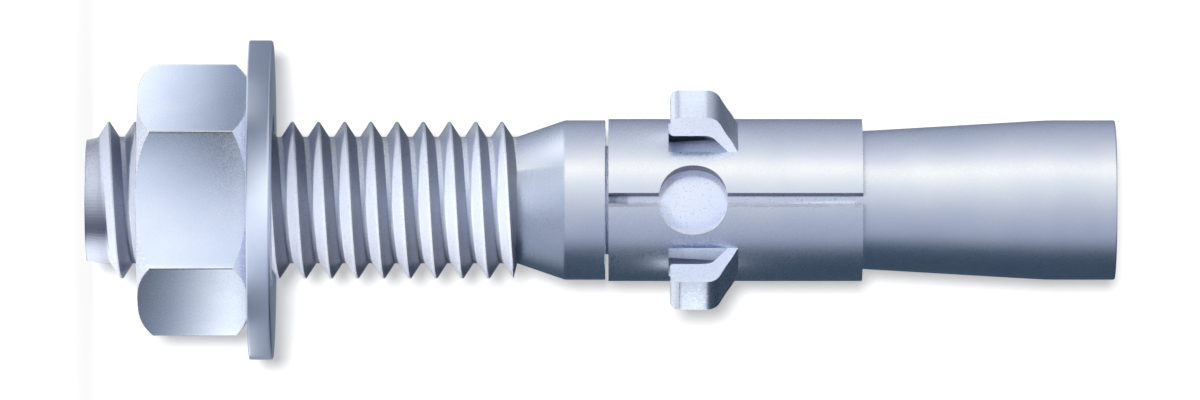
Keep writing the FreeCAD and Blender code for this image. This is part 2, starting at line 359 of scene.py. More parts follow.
def nut_surface(sizes, stud):
    """The nut: a rounded hexagon with both faces domed off at the corners, and a thread inside that fits the
    stud's."""
    step = np.radians([0, 0.3, 0.6, 0.9, 1.4, 2.6, 5, 8, 12, 16, 20, 25])
    sector = np.concatenate([step, [np.pi / 6], np.pi / 3 - step[:0:-1]])
    angles = (np.arange(6)[:, None] * np.pi / 3 + sector[None, :]).ravel()
    rim = hexagon_radius(angles, sizes.flats, sizes.corner_radius)
    face, full = sizes.flats / 2, sizes.flats / 2 / np.cos(np.pi / 6)
    bore = stud.crest_radius + sizes.clearance
    minor = stud.root_radius + 2.2 * sizes.clearance
    middle = (sizes.start + sizes.end) / 2
    half = (sizes.end - sizes.start) / 2

    def radius_at(away, height):
        """The stud's thread with room round it, opened to a funnel at both faces."""
        thread = bore - (stud.crest_radius - stud.root_radius) * thread_depth(away)
        funnel = bore + sizes.countersink - (half - np.abs(height - middle))
        return np.maximum(np.maximum(thread, minor), funnel)

    inside = thread_surface(stud, angles, sizes.start, sizes.end, radius_at, flip=True)
    # From the bore to the face circle, then over the chamfer, which falls ever faster towards a corner.
    ease = 0.05 * MM
    flat_rings = np.array([0, 0.15, 0.5, 0.93, 1.0])
    flat_radius = bore + sizes.countersink + (face - ease - bore - sizes.countersink) * flat_rings
    over = np.linspace(0, 1, 9)[:, None]
    chamfer_radius = face - ease + (rim[None, :] - face + ease) * over
    out = np.clip((chamfer_radius - face + ease) / (full - face + ease), 0, 1)
    fall = sizes.chamfer * (0.25 * out + 0.75 * out ** 1.7)
    sides = []
    for sign in (-1, 1):
        level = middle + sign * half
        flat = polar(flat_radius[:, None], angles[None, :], level)
        chamfer = polar(chamfer_radius, angles[None, :], level - sign * fall)
        sides.append(grid(np.concatenate([flat, chamfer[1:]]), closed=True, flip=sign > 0))
    upright = np.array([0, 0.02, 0.06, 0.2, 0.5, 0.8, 0.94, 0.98, 1.0])[:, None]
    low, high = sizes.start + fall[-1], sizes.end - fall[-1]
    wall = polar(rim[None, :], angles[None, :], low + (high - low) * upright)
    return joined(inside, *sides, grid(wall, closed=True))


def washer_surface(sizes, low, high):
    """The washer: a flat ring whose edges are rounded, more on the face that the punch pushed in."""
    bore, rim = sizes.bore_radius, sizes.radius
    start = ((bore + rim) / 2, low)
    outline = eased(
        [start, (rim, low), (rim, high), (bore, high), (bore, low), start],
        [0.10 * MM, 0.17 * MM, 0.12 * MM, 0.08 * MM])
    return turned(outline, even_angles(WASHER_COLUMNS))


def clip_edges(sizes, heights, radius, split):
    """Angle from the middle of the split to the strip's edge at each height: half the split, or the hole
    where that is wider, whose half angle h gives tan = tan(h) sqrt(1 - (dz / r)^2)."""
    away = np.clip(1 - ((heights - sizes.hole_height) / sizes.hole_radius) ** 2, 0, None)
    return np.maximum(np.arcsin(split / 2 / radius), np.arctan(np.tan(sizes.hole_angle) * np.sqrt(away)))


def clip_surface(sizes, low, high):
    """The clip as one strip rolled round the axis. Its outer and inner skins are grids over height and angle
    whose columns follow the strip's edges and the sides of the two windows. An ear grows from the far end of
    each window."""
    inner, outer = sizes.inner_radius, sizes.inner_radius + sizes.wall
    window_low, window_high = sizes.window_start, sizes.window_end
    window_half = sizes.ear_width / 2 + 0.03 * MM
    root_slant = 0.20 * MM
    hole_low, hole_high = sizes.hole_height - sizes.hole_radius, sizes.hole_height + sizes.hole_radius

    round_hole = sizes.hole_height - sizes.hole_radius * np.cos(np.linspace(0, np.pi, 33))
    round_hole[np.argmin(np.abs(round_hole - window_low))] = window_low
    edge = 0.08 * MM
    heights = np.unique(np.concatenate([
        [low, low + edge], np.linspace(low + edge, hole_low - edge, 5), round_hole,
        [hole_high + edge, window_high - edge, window_high, window_high + edge],
        np.linspace(window_high + edge, high - edge, 9), [high]]))
    first, last = np.searchsorted(heights, (window_low - TINY, window_high - TINY))
    slant = np.interp(heights, [hole_high, window_high, window_high + 4 * edge], [0, root_slant, 0])

    # Columns from one edge of the strip to the other, by way of the four sides of the windows.
    knots = np.cumsum([0, 12, 10, 36, 10, 12])
    share = np.arange(knots[-1] + 1)
    skins = []
    for radius, split, lowered in ((outer, sizes.split_outer, 0), (inner, sizes.split_inner, slant)):
        side = clip_edges(sizes, heights, radius, split)
        half = np.full_like(side, np.arcsin(window_half / radius))
        near, far = sizes.ear_angle - half, sizes.ear_angle + half
        places = np.stack([side, near, far, TURN - far, TURN - near, TURN - side], axis=1)
        angles = np.stack([np.interp(share, knots, row) for row in places]) - np.pi / 2
        skins.append(polar(radius, angles, (heights - lowered)[:, None]))

    rows, columns = skins[0].shape[:2]
    row = np.arange(rows - 1)[:, None]
    column = np.arange(columns - 1)[None, :]
    windows = ((knots[1], knots[2]), (knots[3], knots[4]))
    in_window = np.any([(column >= near) & (column < far) for near, far in windows], axis=0)
    open_cell = (in_window & (row >= first) & (row < last)).ravel()
    surfaces = []
    for skin, flip in zip(skins, (False, True)):
        points, quads = grid(skin, flip=flip)
        surfaces.append((points, quads[~open_cell]))

    outside, within = skins
    wall_steps = 5
    edges = [(0, slice(None), True), (-1, slice(None), False),
             (slice(None), 0, False), (slice(None), -1, True)]
    for near, far in windows:
        across, along = slice(near, far + 1), slice(first, last + 1)
        edges += [(first, across, False), (along, near, True), (along, far, False)]
        surfaces.append(ear_surface(sizes, outside[last, across], within[last, across]))
    for along, across, flip in edges:
        surfaces.append(between(outside[along, across], within[along, across], wall_steps, flip))
    return joined(*surfaces)


def ear_surface(sizes, root_outer, root_inner):
    """An ear: its outline in the plane of reach and height is carried across its width. Where it leaves the
    tube, the flat ear is blended into the tube's curve."""
    reach, under, tip, bend = sizes.ear_reach, sizes.ear_under, sizes.ear_tip, sizes.ear_bend
    slope_reach, slope_height = 5.80 * MM, bend + 0.72 * MM
    nose_top, nose_below = reach - 0.75 * MM, reach - 0.95 * MM
    blend_length = 0.9 * MM
    stations = 60
    middle = (root_outer[0] + root_outer[-1]) / 2
    away = np.array([middle[0], middle[1], 0]) / np.hypot(middle[0], middle[1])
    side = np.array([-away[1], away[0], 0])
    outer_radius, inner_radius = np.hypot(*root_outer[0, :2]), np.hypot(*root_inner[0, :2])
    top = eased([(outer_radius, root_outer[0, 2]), (slope_reach, slope_height), (reach, bend), (reach, tip),
                 (nose_top, tip)], [0.5 * MM, 0.6 * MM, 0.6 * MM], steps=8)
    below = eased([(inner_radius, root_inner[0, 2]), (under, bend - 0.3 * MM), (under, tip),
                   (nose_below, tip)], [0.4 * MM, 0.18 * MM], steps=8)
    width = np.linspace(-1, 1, root_outer.shape[0]) * sizes.ear_width / 2
    skins = []
    for path, root in ((top, root_outer), (below, root_inner)):
        run = np.concatenate([[0], np.cumsum(np.linalg.norm(np.diff(path, axis=0), axis=1))])
        places = np.linspace(0, run[-1], stations)
        radius = np.interp(places, run, path[:, 0])[:, None, None]
        height = np.interp(places, run, path[:, 1])[:, None, None]
        flat = radius * away + width[None, :, None] * side + height * np.array([0, 0, 1.0])
        blend = smoothed(np.clip(1 - places / blend_length, 0, 1))[:, None, None]
        skins.append(flat + blend * (root[None] - flat[:1]))
    over, beneath = skins
    wall_steps = 6
    return joined(
        grid(over, flip=True), grid(beneath), between(over[:, 0], beneath[:, 0], wall_steps),
        between(over[:, -1], beneath[:, -1], wall_steps, flip=True),
        between(over[-1], beneath[-1], wall_steps, flip=True))


# Finishes. Patterns read Object coordinates in metres.

# How many lumps a metre each kind of noise has.
CLOUD_SCALE = 350.0
SPECKLE_SCALE = 9000.0
WORN_AND_LIT_SCALE = 900.0


def add(tree, kind, **settings):
    """A node of a kind, with its properties set."""
    node = tree.nodes.new(kind)
    for name, setting in settings.items():
        setattr(node, name, setting)
    return node


def feed(tree, socket, source):
    """Give an input its source: another node's socket, or a plain value."""
    if isinstance(source, bpy.types.NodeSocket):
        tree.links.new(source, socket)
    else:
        socket.default_value = source


def fed(tree, node, sockets, sources):
    """A node whose named or numbered inputs are given their sources."""
    for key, source in zip(sockets, sources):
        feed(tree, node.inputs[key], source)
    return node


def new_group(name, inputs, outputs):
    """A shader node group whose inputs and outputs are given as names with their kinds, together with the
    sockets that its inside reads and the ones that it fills."""
    group = bpy.data.node_groups.new(name, "ShaderNodeTree")
    for direction, sockets in (("INPUT", inputs), ("OUTPUT", outputs)):
        for socket, kind in sockets.items():
            group.interface.new_socket(name=socket, in_out=direction, socket_type="NodeSocket" + kind)
    return group, add(group, "NodeGroupInput").outputs, add(group, "NodeGroupOutput").inputs


def noise(tree, vector, scale, detail=3.0, rough=0.5):
    """Cloudy noise from a vector."""
    sockets = ("Vector", "Scale", "Detail", "Roughness")
    return fed(tree, add(tree, "ShaderNodeTexNoise"), sockets, (vector, scale, detail, rough)).outputs["Fac"]


def ranged(tree, number, low, high, to_low, to_high):
    """A number carried from one range to another and held there."""
    sockets = ("Value", "From Min", "From Max", "To Min", "To Max")
    node = add(tree, "ShaderNodeMapRange", clamp=True)
    return fed(tree, node, sockets, (number, low, high, to_low, to_high)).outputs["Result"]


def mixed(tree, share, one, two):
    """Two colours mixed by a share."""
    node = add(tree, "ShaderNodeMix", data_type="RGBA", clamp_factor=True)
    return fed(tree, node, ("Factor", 6, 7), (share, one, two)).outputs[2]


def mixed_shaders(tree, share, one, two):
    """Two shaders mixed by a share."""
    return fed(tree, add(tree, "ShaderNodeMixShader"), (0, 1, 2), (share, one, two)).outputs[0]


def computed(tree, operation, one, two):
    """Arithmetic on two numbers."""
    return fed(tree, add(tree, "ShaderNodeMath", operation=operation), (0, 1), (one, two)).outputs[0]


def stretched(tree, vector, scale):
    """A vector with each part scaled on its own."""
    return fed(tree, add(tree, "ShaderNodeMapping"), ("Vector", "Scale"), (vector, scale)).outputs["Vector"]


def marked(tree, name, output="Fac"):
    """What the mesh says under a name, at each corner or on each face."""
    node = add(tree, "ShaderNodeAttribute", attribute_type="GEOMETRY", attribute_name=name)
    return node.outputs[output]


def placed(tree, group, **sources):
    """A node group in a material. Each input is named with spaces as underscores."""
    sockets = [name.replace("_", " ") for name in sources]
    return fed(tree, add(tree, "ShaderNodeGroup", node_tree=group), sockets, sources.values()).outputs


def new_material(name):
    """A material, its node tree and the Principled shader in it."""
    material = bpy.data.materials.new(name)
    material.use_nodes = True
    return material, material.node_tree, material.node_tree.nodes["Principled BSDF"]


def show(tree, shader):
    """Make a shader what the material shows."""
    tree.links.new(shader, tree.nodes["Material Output"].inputs["Surface"])


def make_zinc_plate():
    """Zinc plate: soft clouds of two tones and a fine crystal speckle, with roughness that follows them."""
    group, inside, outside = new_group(
        "Zinc Plate",
        {"Vector": "Vector", "Tone": "Color", "Pale Tone": "Color", "Cloud Scale": "Float",
         "Low Roughness": "Float", "High Roughness": "Float"},
        {"Color": "Color", "Roughness": "Float", "Height": "Float"})
    cloud = noise(group, inside["Vector"], inside["Cloud Scale"], detail=4.0)
    speckle = noise(group, inside["Vector"], SPECKLE_SCALE, detail=2.0)
    cloud_share = ranged(group, cloud, 0.35, 0.68, 0.0, 1.0)
    speckle_share = ranged(group, speckle, 0.3, 0.7, -0.12, 0.12)
    share = computed(group, "ADD", cloud_share, speckle_share)
    feed(group, outside["Color"], mixed(group, share, inside["Tone"], inside["Pale Tone"]))
    span = computed(group, "SUBTRACT", inside["High Roughness"], inside["Low Roughness"])
    grown = computed(group, "MULTIPLY", span, ranged(group, speckle, 0.3, 0.7, 0.0, 1.0))
    feed(group, outside["Roughness"], computed(group, "ADD", inside["Low Roughness"], grown))
    feed(group, outside["Height"], speckle)
    return group


def make_wear_and_painted_light():
    """Rubbing and painted light: where the mask is high the plate is brighter and smoother, as real wear on
    crests and edges and as painted light elsewhere, broken up by a coarse noise.
    """
    group, inside, outside = new_group(
        "Wear and Painted Light",
        {"Vector": "Vector", "Mask": "Float", "Color": "Color", "Rubbed Color": "Color",
         "Roughness": "Float", "Rubbed Roughness": "Float"},
        {"Color": "Color", "Roughness": "Float"})
    broken = ranged(group, noise(group, inside["Vector"], WORN_AND_LIT_SCALE), 0.35, 0.6, 0.35, 1.0)
    share = computed(group, "MULTIPLY", inside["Mask"], broken)
    feed(group, outside["Color"], mixed(group, share, inside["Color"], inside["Rubbed Color"]))
    less = computed(group, "SUBTRACT", inside["Rubbed Roughness"], inside["Roughness"])
    change = computed(group, "MULTIPLY", share, less)
    feed(group, outside["Roughness"], computed(group, "ADD", inside["Roughness"], change))
    return group


def make_tool_lines():
    """Fine tool lines: noise drawn out along the directions whose scale is small, as a height."""
    group, inside, outside = new_group(
        "Tool Lines", {"Vector": "Vector", "Strength": "Float"}, {"Height": "Float"})
    fine = noise(group, inside["Vector"], 1.0, detail=4.0, rough=0.6)
    feed(group, outside["Height"], computed(group, "MULTIPLY", fine, inside["Strength"]))
    return group


def shared_group(name, make):
    """A node group that the finishes share, made where it isn't there yet."""
    return bpy.data.node_groups.get(name) or make()


WORN_AND_LIT_ROUGHNESS = 0.22
BUMP_DISTANCE = 0.012 * MM
BUMP_STRENGTH = 0.4
# Each piece's finish: the scale of its tool lines along X, Y and Z, their strength, its lowest and highest
# roughness, and how strongly its marks of wear and painted light show.
FINISHES = {
    "Zinc Stud": ((60, 60, 9000), 1.0, (0.26, 0.36), 0.8),
    "Zinc Nut": ((2500, 2500, 2500), 0.12, (0.21, 0.29), 0.6),
    "Zinc Washer": ((1500, 500, 900), 0.8, (0.28, 0.40), 0.0),
    "Zinc Clip": ((1200, 1200, 150), 0.7, (0.25, 0.35), 1.0),
}


def zinc_material(name, colours):
    """Zinc plated steel with clouds, speckle and tool lines. Marks on the mesh say where it carries painted
    shade, where it is rubbed bright, which is wear on crests and edges and painted light elsewhere, and where
    it is dull."""
    line_scale, line_strength, rough, wear_and_light_amount = FINISHES[name]
    material, tree, principled = new_material(name)
    shader = principled.inputs
    place = add(tree, "ShaderNodeTexCoord").outputs["Object"]
    plate = placed(tree, shared_group("Zinc Plate", make_zinc_plate), Vector=place, Tone=colours.zinc,
                   Pale_Tone=colours.zinc_pale, Cloud_Scale=CLOUD_SCALE, Low_Roughness=rough[0],
                   High_Roughness=rough[1])
    # Painted shade: the plate is darkened towards the shade colour where the mesh marks it.
    shaded = mixed(tree, marked(tree, "painted_shade"), plate["Color"], colours.zinc_painted_shade)
    # Wear on crests and edges, and painted light elsewhere, brighten the plate where the mesh marks it.
    mask = computed(tree, "MULTIPLY", marked(tree, "wear_and_painted_light"), wear_and_light_amount)
    wear_and_painted_light = placed(tree, shared_group("Wear and Painted Light", make_wear_and_painted_light), Vector=place, Mask=mask,
                    Color=shaded, Rubbed_Color=colours.zinc_worn_and_lit, Roughness=plate["Roughness"],
                    Rubbed_Roughness=WORN_AND_LIT_ROUGHNESS)
    feed(tree, shader["Base Color"], wear_and_painted_light["Color"])
    feed(tree, shader["Roughness"], wear_and_painted_light["Roughness"])
    lines = placed(tree, shared_group("Tool Lines", make_tool_lines),
                   Vector=stretched(tree, place, line_scale), Strength=line_strength)
    height = computed(tree, "ADD", lines["Height"], computed(tree, "MULTIPLY", plate["Height"], 0.03))
    bump = fed(tree, add(tree, "ShaderNodeBump"), ("Distance", "Strength", "Height"),
               (BUMP_DISTANCE, BUMP_STRENGTH, height))
    feed(tree, shader["Normal"], bump.outputs["Normal"])
    feed(tree, shader["Metallic"], computed(tree, "SUBTRACT", 1.0, marked(tree, "matt")))
    return material


def vectors(items, key):
    """One vector of each vertex or face of a mesh, as rows of three numbers."""
    numbers = np.zeros(len(items) * 3, np.float32)
    items.foreach_get(key, numbers)
    return numbers.reshape(-1, 3).astype(float)


def mark(piece, name, numbers, domain="POINT"):
    """A named number on every corner, or on every face, of a piece."""
    attribute = piece.data.attributes.new(name, "FLOAT", domain)
    attribute.data.foreach_set("value", np.ascontiguousarray(numbers, np.float32))


def mark_stud(piece, sizes):
    """The thread is dull, with rubbed bright crests and painted shade on its upper flanks; its roots carry
    painted light on the -X side and painted shade on the +X side. The end has a band of painted shade. The
    neck under the clip is half dull, with a little painted shade and painted light."""
    places = vectors(piece.data.vertices, "co")
    height = places[:, 2]
    below_crest = sizes.crest_radius - np.hypot(places[:, 0], places[:, 1])
    depth = below_crest / (sizes.crest_radius - sizes.root_radius)
    threaded = height < sizes.thread_end
    cover = (sizes.collar_end + 0.01 * MM, COVER_END)
    covered = (height > cover[0]) & (height < cover[1])
    mark(piece, "matt", np.where(threaded, 0.92, np.where(covered, 0.68, 0)))
    # Painted light: the roots are brighter towards -X and the neck under the clip a little brighter; the
    # crests are rubbed bright by wear.
    bright_root = np.clip(-places[:, 0] / sizes.root_radius, 0, 1)
    bright_crest = 0.3 * np.clip(1 - depth * 5, 0, 1)
    wear_and_light = np.where(depth > 0.97, bright_root, bright_crest)
    mark(piece, "wear_and_painted_light", np.where(threaded, wear_and_light, np.where(covered, 0.1, 0.0)))

    centres = vectors(piece.data.polygons, "center")
    slope = vectors(piece.data.polygons, "normal")[:, 2]
    height, reach = centres[:, 2], np.hypot(centres[:, 0], centres[:, 1])
    sideways = centres[:, 0] / sizes.crest_radius
    thread_face = height < sizes.thread_end + 0.3 * MM
    upper_flank = thread_face & (slope > 0.5)
    root = thread_face & (np.abs(slope) < 0.3) & (reach < sizes.root_radius * 1.03)
    end = (height < 1.6 * MM) & (reach < sizes.end_radius + 0.3 * height + 0.05 * MM) & (np.abs(slope) < 0.9)
    under_clip = (height > cover[0]) & (height < cover[1])
    # The band of painted shade is darkest at a place to the side, towards +X, and fades slowly one way,
    # quickly the other.
    band_place, slow, quick = 0.37, 0.42, 0.19
    band = np.exp(-((sideways - band_place) / np.where(sideways < band_place, slow, quick)) ** 2)
    # Painted shade on the end band, the upper flanks, the roots towards +X and, a little, the neck under the
    # clip.
    mark(piece, "painted_shade", np.select(
        [end, upper_flank, root, under_clip],
        [band, 0.62 + 0.25 * np.abs(sideways), np.clip(0.9 * sideways + 0.2, 0, 0.8), 0.10], 0.0), "FACE")


def mark_nut(piece, sizes):
    """The upright edges are rubbed bright, the chamfers are dull and the bore has a little painted shade."""
    places = vectors(piece.data.vertices, "co")
    radius = np.hypot(places[:, 0], places[:, 1])
    corner = hexagon_radius(np.zeros(1), sizes.flats, sizes.corner_radius)[0]
    mark(piece, "wear_and_painted_light", np.clip(1 - (corner - radius) / (0.10 * MM), 0, 1))
    # Painted shade in the bore.
    mark(piece, "painted_shade", np.where(radius < sizes.flats / 2 * 0.72, 0.2, 0.0))
    slope = np.abs(vectors(piece.data.polygons, "normal")[:, 2])
    mark(piece, "matt", np.where((slope > 0.2) & (slope < 0.99), 0.7, 0.0), "FACE")


def mark_clip(piece, sizes):
    """Cut faces and what faces inwards are dull. The strip's cut edge on the -X side of the split and of the
    hole has painted shade, the one on the +X side a painted highlight."""
    outer = sizes.inner_radius + sizes.wall
    centres = vectors(piece.data.polygons, "center")
    normals = vectors(piece.data.polygons, "normal")
    radius = np.hypot(centres[:, 0], centres[:, 1])
    around = np.abs(normals[:, 1] * centres[:, 0] - normals[:, 0] * centres[:, 1]) / radius
    outward = (normals[:, 0] * centres[:, 0] + normals[:, 1] * centres[:, 1]) / radius
    cut = (around > 0.6) | ((np.abs(normals[:, 2]) > 0.5) & (radius < outer)) | (outward < -0.2)
    ear_end = (normals[:, 2] < -0.12) & (radius > outer + 0.4 * MM)
    on_front = centres[:, 1] < -0.85 * radius
    edge = (around > 0.25) & (radius < outer - TINY) & on_front & (np.abs(outward) < 0.6)
    # Painted shade on the cut edges towards -X, painted highlight on those towards +X.
    dark = edge & (centres[:, 0] < 0)
    mark(piece, "matt", np.where(dark, 1.0, np.where(cut | ear_end, 0.9, 0.0)), "FACE")
    mark(piece, "painted_shade", np.where(dark, 1.0, 0.0), "FACE")
    mark(piece, "wear_and_painted_light", np.where(edge & (centres[:, 0] > 0), 1.0, 0.0), "FACE")


class ANCHOR_OT_build_stud(bpy.types.Operator):
    """Build the threaded stud with its collar and cone"""
    bl_idname = "anchor.build_stud"
    bl_label = "Build Stud"

    def execute(self, context):
        sizes = context.scene.anchor_stud
        piece = put("zinc_stud", stud_surface(sizes), "anchor_stud", "stud")
        mark_stud(piece, sizes)
        piece.data.materials.append(zinc_material("Zinc Stud", context.scene.anchor_finish))
        return {"FINISHED"}


class ANCHOR_OT_build_nut(bpy.types.Operator):
    """Build the hexagon nut with its inner thread"""
    bl_idname = "anchor.build_nut"
    bl_label = "Build Nut"

    def execute(self, context):
        sizes = context.scene.anchor_nut
        surface = nut_surface(sizes, context.scene.anchor_stud)
        piece = put("zinc_nut", surface, "nut", "hex_nut", sharp=20)
        mark_nut(piece, sizes)
        piece.data.materials.append(zinc_material("Zinc Nut", context.scene.anchor_finish))
        return {"FINISHED"}


class ANCHOR_OT_build_washer(bpy.types.Operator):
    """Build the flat washer"""
    bl_idname = "anchor.build_washer"
    bl_label = "Build Washer"

    def execute(self, context):
        surface = washer_surface(context.scene.anchor_washer, WASHER_LOW.z, WASHER_HIGH.z)
        piece = put("zinc_washer", surface, "washer", "flat_washer")
        piece.data.materials.append(zinc_material("Zinc Washer", context.scene.anchor_finish))
        return {"FINISHED"}


class ANCHOR_OT_build_clip(bpy.types.Operator):
    """Build the rolled expansion clip with its split, hole and two ears"""
    bl_idname = "anchor.build_clip"
    bl_label = "Build Clip"

    def execute(self, context):
        sizes = context.scene.anchor_clip
        surface = clip_surface(sizes, CLIP_LOW.z, CLIP_HIGH.z)
        piece = put("zinc_clip", surface, "clip", "expansion_clip")
        mark_clip(piece, sizes)
        piece.data.materials.append(zinc_material("Zinc Clip", context.scene.anchor_finish))
        return {"FINISHED"}


# Stage.

# The metal reflects a light tent, cards near its flat faces and a ring round the washer. Turns are angles in
# degrees from -Y towards -X, and glow_colour makes levels into colours.
TENT_DIM = np.array([0.055, 0.085, 0.115])
TENT_FRONT = np.array([0.46, 0.45, 0.485])
TENT_FRONT_EDGES = (-68, 6, 150, 14)
TENT_KEY = np.array([0.73, 0.66, 0.47])
TENT_KEY_PLACE = (40, 50)
TENT_STRIP = np.array([0.42, 0.32, 0.14])
TENT_STRIP_PLACE = (45, 12)
TENT_HEIGHTS = np.array([-0.30, -0.13, -0.03, 0.09, 0.16, 0.36])
TENT_HEIGHT_GLOW = np.array([0.30, 0.50, 1.0, 1.0, 0.60, 0.45])
# The short cone below the collar looks down at a band of the tent with levels of its own.
CONE_BAND_HEIGHTS = (-0.19, -0.14, -0.055, -0.025)
CONE_BAND_TURNS = (-180, -130, -90, -40, 0, 30, 57, 72, 95, 130, 150, 180)
CONE_BAND_LEVELS = (1.10, 0.90, 0.55, 0.34, 0.56, 0.82, 0.68, 1.25, 2.0, 2.0, 1.7, 1.30)

# A card stands at a distance from the axis and at a turn. Its levels are given at places across it, and at
# heights. Both, like the distance, are in millimetres.
CARDS = {
    "nut_front_card": (17, 0, (-20, -2.4, 0, 2.1, 4.2, 20), (-3, 3.6, 6.5, 9.7),
                       ((1.60, 1.50, 1.35, 1.15, 0.60, 0.30), (1.40, 1.32, 1.16, 0.98, 0.36, 0.12),
                        (1.30, 1.18, 0.97, 0.60, 0.24, 0.03), (1.20, 1.00, 0.62, 0.14, 0.0, 0.0))),
    "nut_top_card": (17, 98.7, (-7.5, 7.5), (0.5, 3.6, 6.5, 9.6),
                     ((1.2, 1.75), (0.95, 1.65), (0.52, 1.05), (0.16, 0.44))),
    "nut_bottom_card": (17, -98.7, (-7.5, 7.5), (0.5, 3.6, 6.5, 9.6),
                        ((0.16, 0.0), (0.45, 0.06), (1.30, 0.32), (3.30, 1.30))),
    "ear_top_card": (16.9, 86, (-2.4, 3.8), (35.2, 38.2), ((1.5, 1.5), (1.5, 1.5))),
    "ear_bottom_card": (16.9, -86, (-3.8, 1.8), (35.3, 38.2), ((1.85, 1.85), (1.85, 1.85))),
}
# The ring's radius and its two heights, in millimetres.
WASHER_RING = (17, 9.9, 15.0)
WASHER_RING_TURNS = (-180, -49, -36, -23, -14, 0, 14, 23, 36, 49, 180)
WASHER_RING_LEVELS = (0.28, 0.32, 0.56, 0.90, 1.22, 1.70, 1.45, 0.90, 0.40, 0.28, 0.28)

PIECES = ("zinc_stud", "zinc_nut", "zinc_washer", "zinc_clip")
# Each spot's place and target in millimetres, power, colour, beam in degrees, how soft the beam's edge is,
# its size in millimetres, and the groups of pieces that it lights and that shade it.
SPOTS = {
    "thread_spot": ((157, -190, -178), (0, 0, 13), 11.5, (1.0, 0.94, 0.84), 7.5, 0.35, 30, "Lit Pieces",
                    "Stud Only"),
    "clip_spot": ((-205, -344, 30), (0, 0, 38.5), 13.0, (0.95, 0.98, 1.0), 3.2, 0.3, 20, "Lit Pieces", None),
    "window_spot": ((0, -363, -130), (0, 0, 37.5), 7.6, (0.97, 0.98, 1.0), 3.0, 0.3, 20, "Lit Pieces", None),
    "corner_spot": ((-60, -330, 150), (0, 0, 9), 6.0, (1.0, 0.94, 0.82), 6.0, 0.3, 20, "Nut Only",
                    "Stud Only"),
}
SUN_PLACE = (-27, -500, -20)
SUN_POWER = 3.4
SUN_ANGLE = 5.5

# The backdrop behind the object: half its width, its place along Y and its two heights, in millimetres, and
# the share of it that glows. The rest is lit by the sun, so the less it glows the stronger the shadow is.
BACKDROP_HALF = 40
BACKDROP_PLACE = 11.5
BACKDROP_SPAN = np.array([[-20.0, 85.0]])
BACKDROP_GLOW = 0.40
# The floor lies just below the stud's end. The share of it that is plain white grows between two radii.
FLOOR_DROP = 0.02 * MM
FLOOR_FADE = (8 * MM, 18 * MM)
FLOOR_WHITE = (0.93, 1.0)
PAPER_WHITE = (0.97, 0.97, 0.97, 1)
WORLD_DIM = (0.20, 0.20, 0.21, 1)
WORLD_WHITE = (1, 1, 1, 1)


def turns_of(angles):
    """Angles round Z as turns: degrees from -Y towards -X, between -180 and 180."""
    return (270 - np.degrees(angles) + 180) % 360 - 180


def glow_colour(level):
    """Colour of a glow of level L, warmer the brighter it is: L (1, 1.14 - 0.11 w, 1.37 - 0.32 w), where w is
    L but never above 1.35."""
    level = np.clip(np.asarray(level, float).reshape(-1, 1), 0, 2)
    return level * (np.array([1, 1.14, 1.37]) - np.array([0, 0.11, 0.32]) * np.minimum(level, 1.35))


def panel(places, edges):
    """A soft-edged panel: 1 / (1 + exp((low - p) / low_soft)) / (1 + exp((p - high) / high_soft))."""
    low, low_soft, high, high_soft = edges
    return 1 / (1 + np.exp((low - places) / low_soft)) / (1 + np.exp((places - high) / high_soft))


def bell(places, middle, width):
    """A soft light that fades to both sides: exp(-((p - middle) / width)^2)."""
    return np.exp(-((places - middle) / width) ** 2)[:, None]


def tent_glow(turn, height):
    """Colour of the tent at a turn and a height: a dim tube that carries a soft-edged front panel, a wide key
    light and a narrow strip, and the short cone's own band."""
    glow = (TENT_DIM + panel(turn, TENT_FRONT_EDGES)[:, None] * TENT_FRONT
            + bell(turn, *TENT_KEY_PLACE) * TENT_KEY + bell(turn, *TENT_STRIP_PLACE) * TENT_STRIP)
    glow = np.interp(height, TENT_HEIGHTS, TENT_HEIGHT_GLOW)[:, None] * glow
    band = np.interp(height, CONE_BAND_HEIGHTS, (0, 1, 1, 0))[:, None]
    return (1 - band) * glow + band * glow_colour(np.interp(turn, CONE_BAND_TURNS, CONE_BAND_LEVELS))


def glow_material():
    """A surface that glows in the colour of its corners, and that no ray is aimed at."""
    material, tree, principled = new_material("Soft Glow")
    tree.nodes.remove(principled)
    colour = marked(tree, "glow", "Color")
    show(tree, fed(tree, add(tree, "ShaderNodeEmission"), ["Color"], [colour]).outputs[0])
    material.cycles.emission_sampling = "NONE"
    return material


def add_glowing(name, surface, colours):
    """A surface with a glow at each corner. Only glossy rays see it, so it is what the metal reflects."""
    lit = new_object(name, surface[0], surface[1].tolist())
    glow = lit.data.attributes.new("glow", "FLOAT_COLOR", "POINT")
    glow.data.foreach_set(
        "color", np.append(colours, np.ones((len(colours), 1)), axis=1).astype(np.float32).ravel())
    lit.data.materials.append(bpy.data.materials.get("Soft Glow") or glow_material())
    lit.visible_camera = False
    lit.visible_diffuse = False
    lit.visible_shadow = False


def build_tent(radius):
    """A light tent: an open tube round Z that glows inwards."""
    around = even_angles(TENT_COLUMNS)
    heights = np.linspace(TENT_HEIGHTS[0], TENT_HEIGHTS[-1], 34)
    surface = grid(polar(radius, around[None, :], heights[:, None]), closed=True, flip=True)
    turn = turns_of(around)
    add_glowing("light_tent", surface, tent_glow(np.tile(turn, len(heights)), np.repeat(heights, len(turn))))


def build_card(name, distance, turn, across, heights, levels):
    """A flat card that faces the axis: p = distance away + u across + z up."""
    away = np.array([-np.sin(np.radians(turn)), -np.cos(np.radians(turn)), 0])
    sideways = np.array([away[1], -away[0], 0])
    u = np.array(across, float)[None, :, None]
    level = np.array(heights, float)[:, None, None] * np.array([0, 0, 1.0])
    add_glowing(name, grid((distance * away + u * sideways + level) * MM), glow_colour(levels))


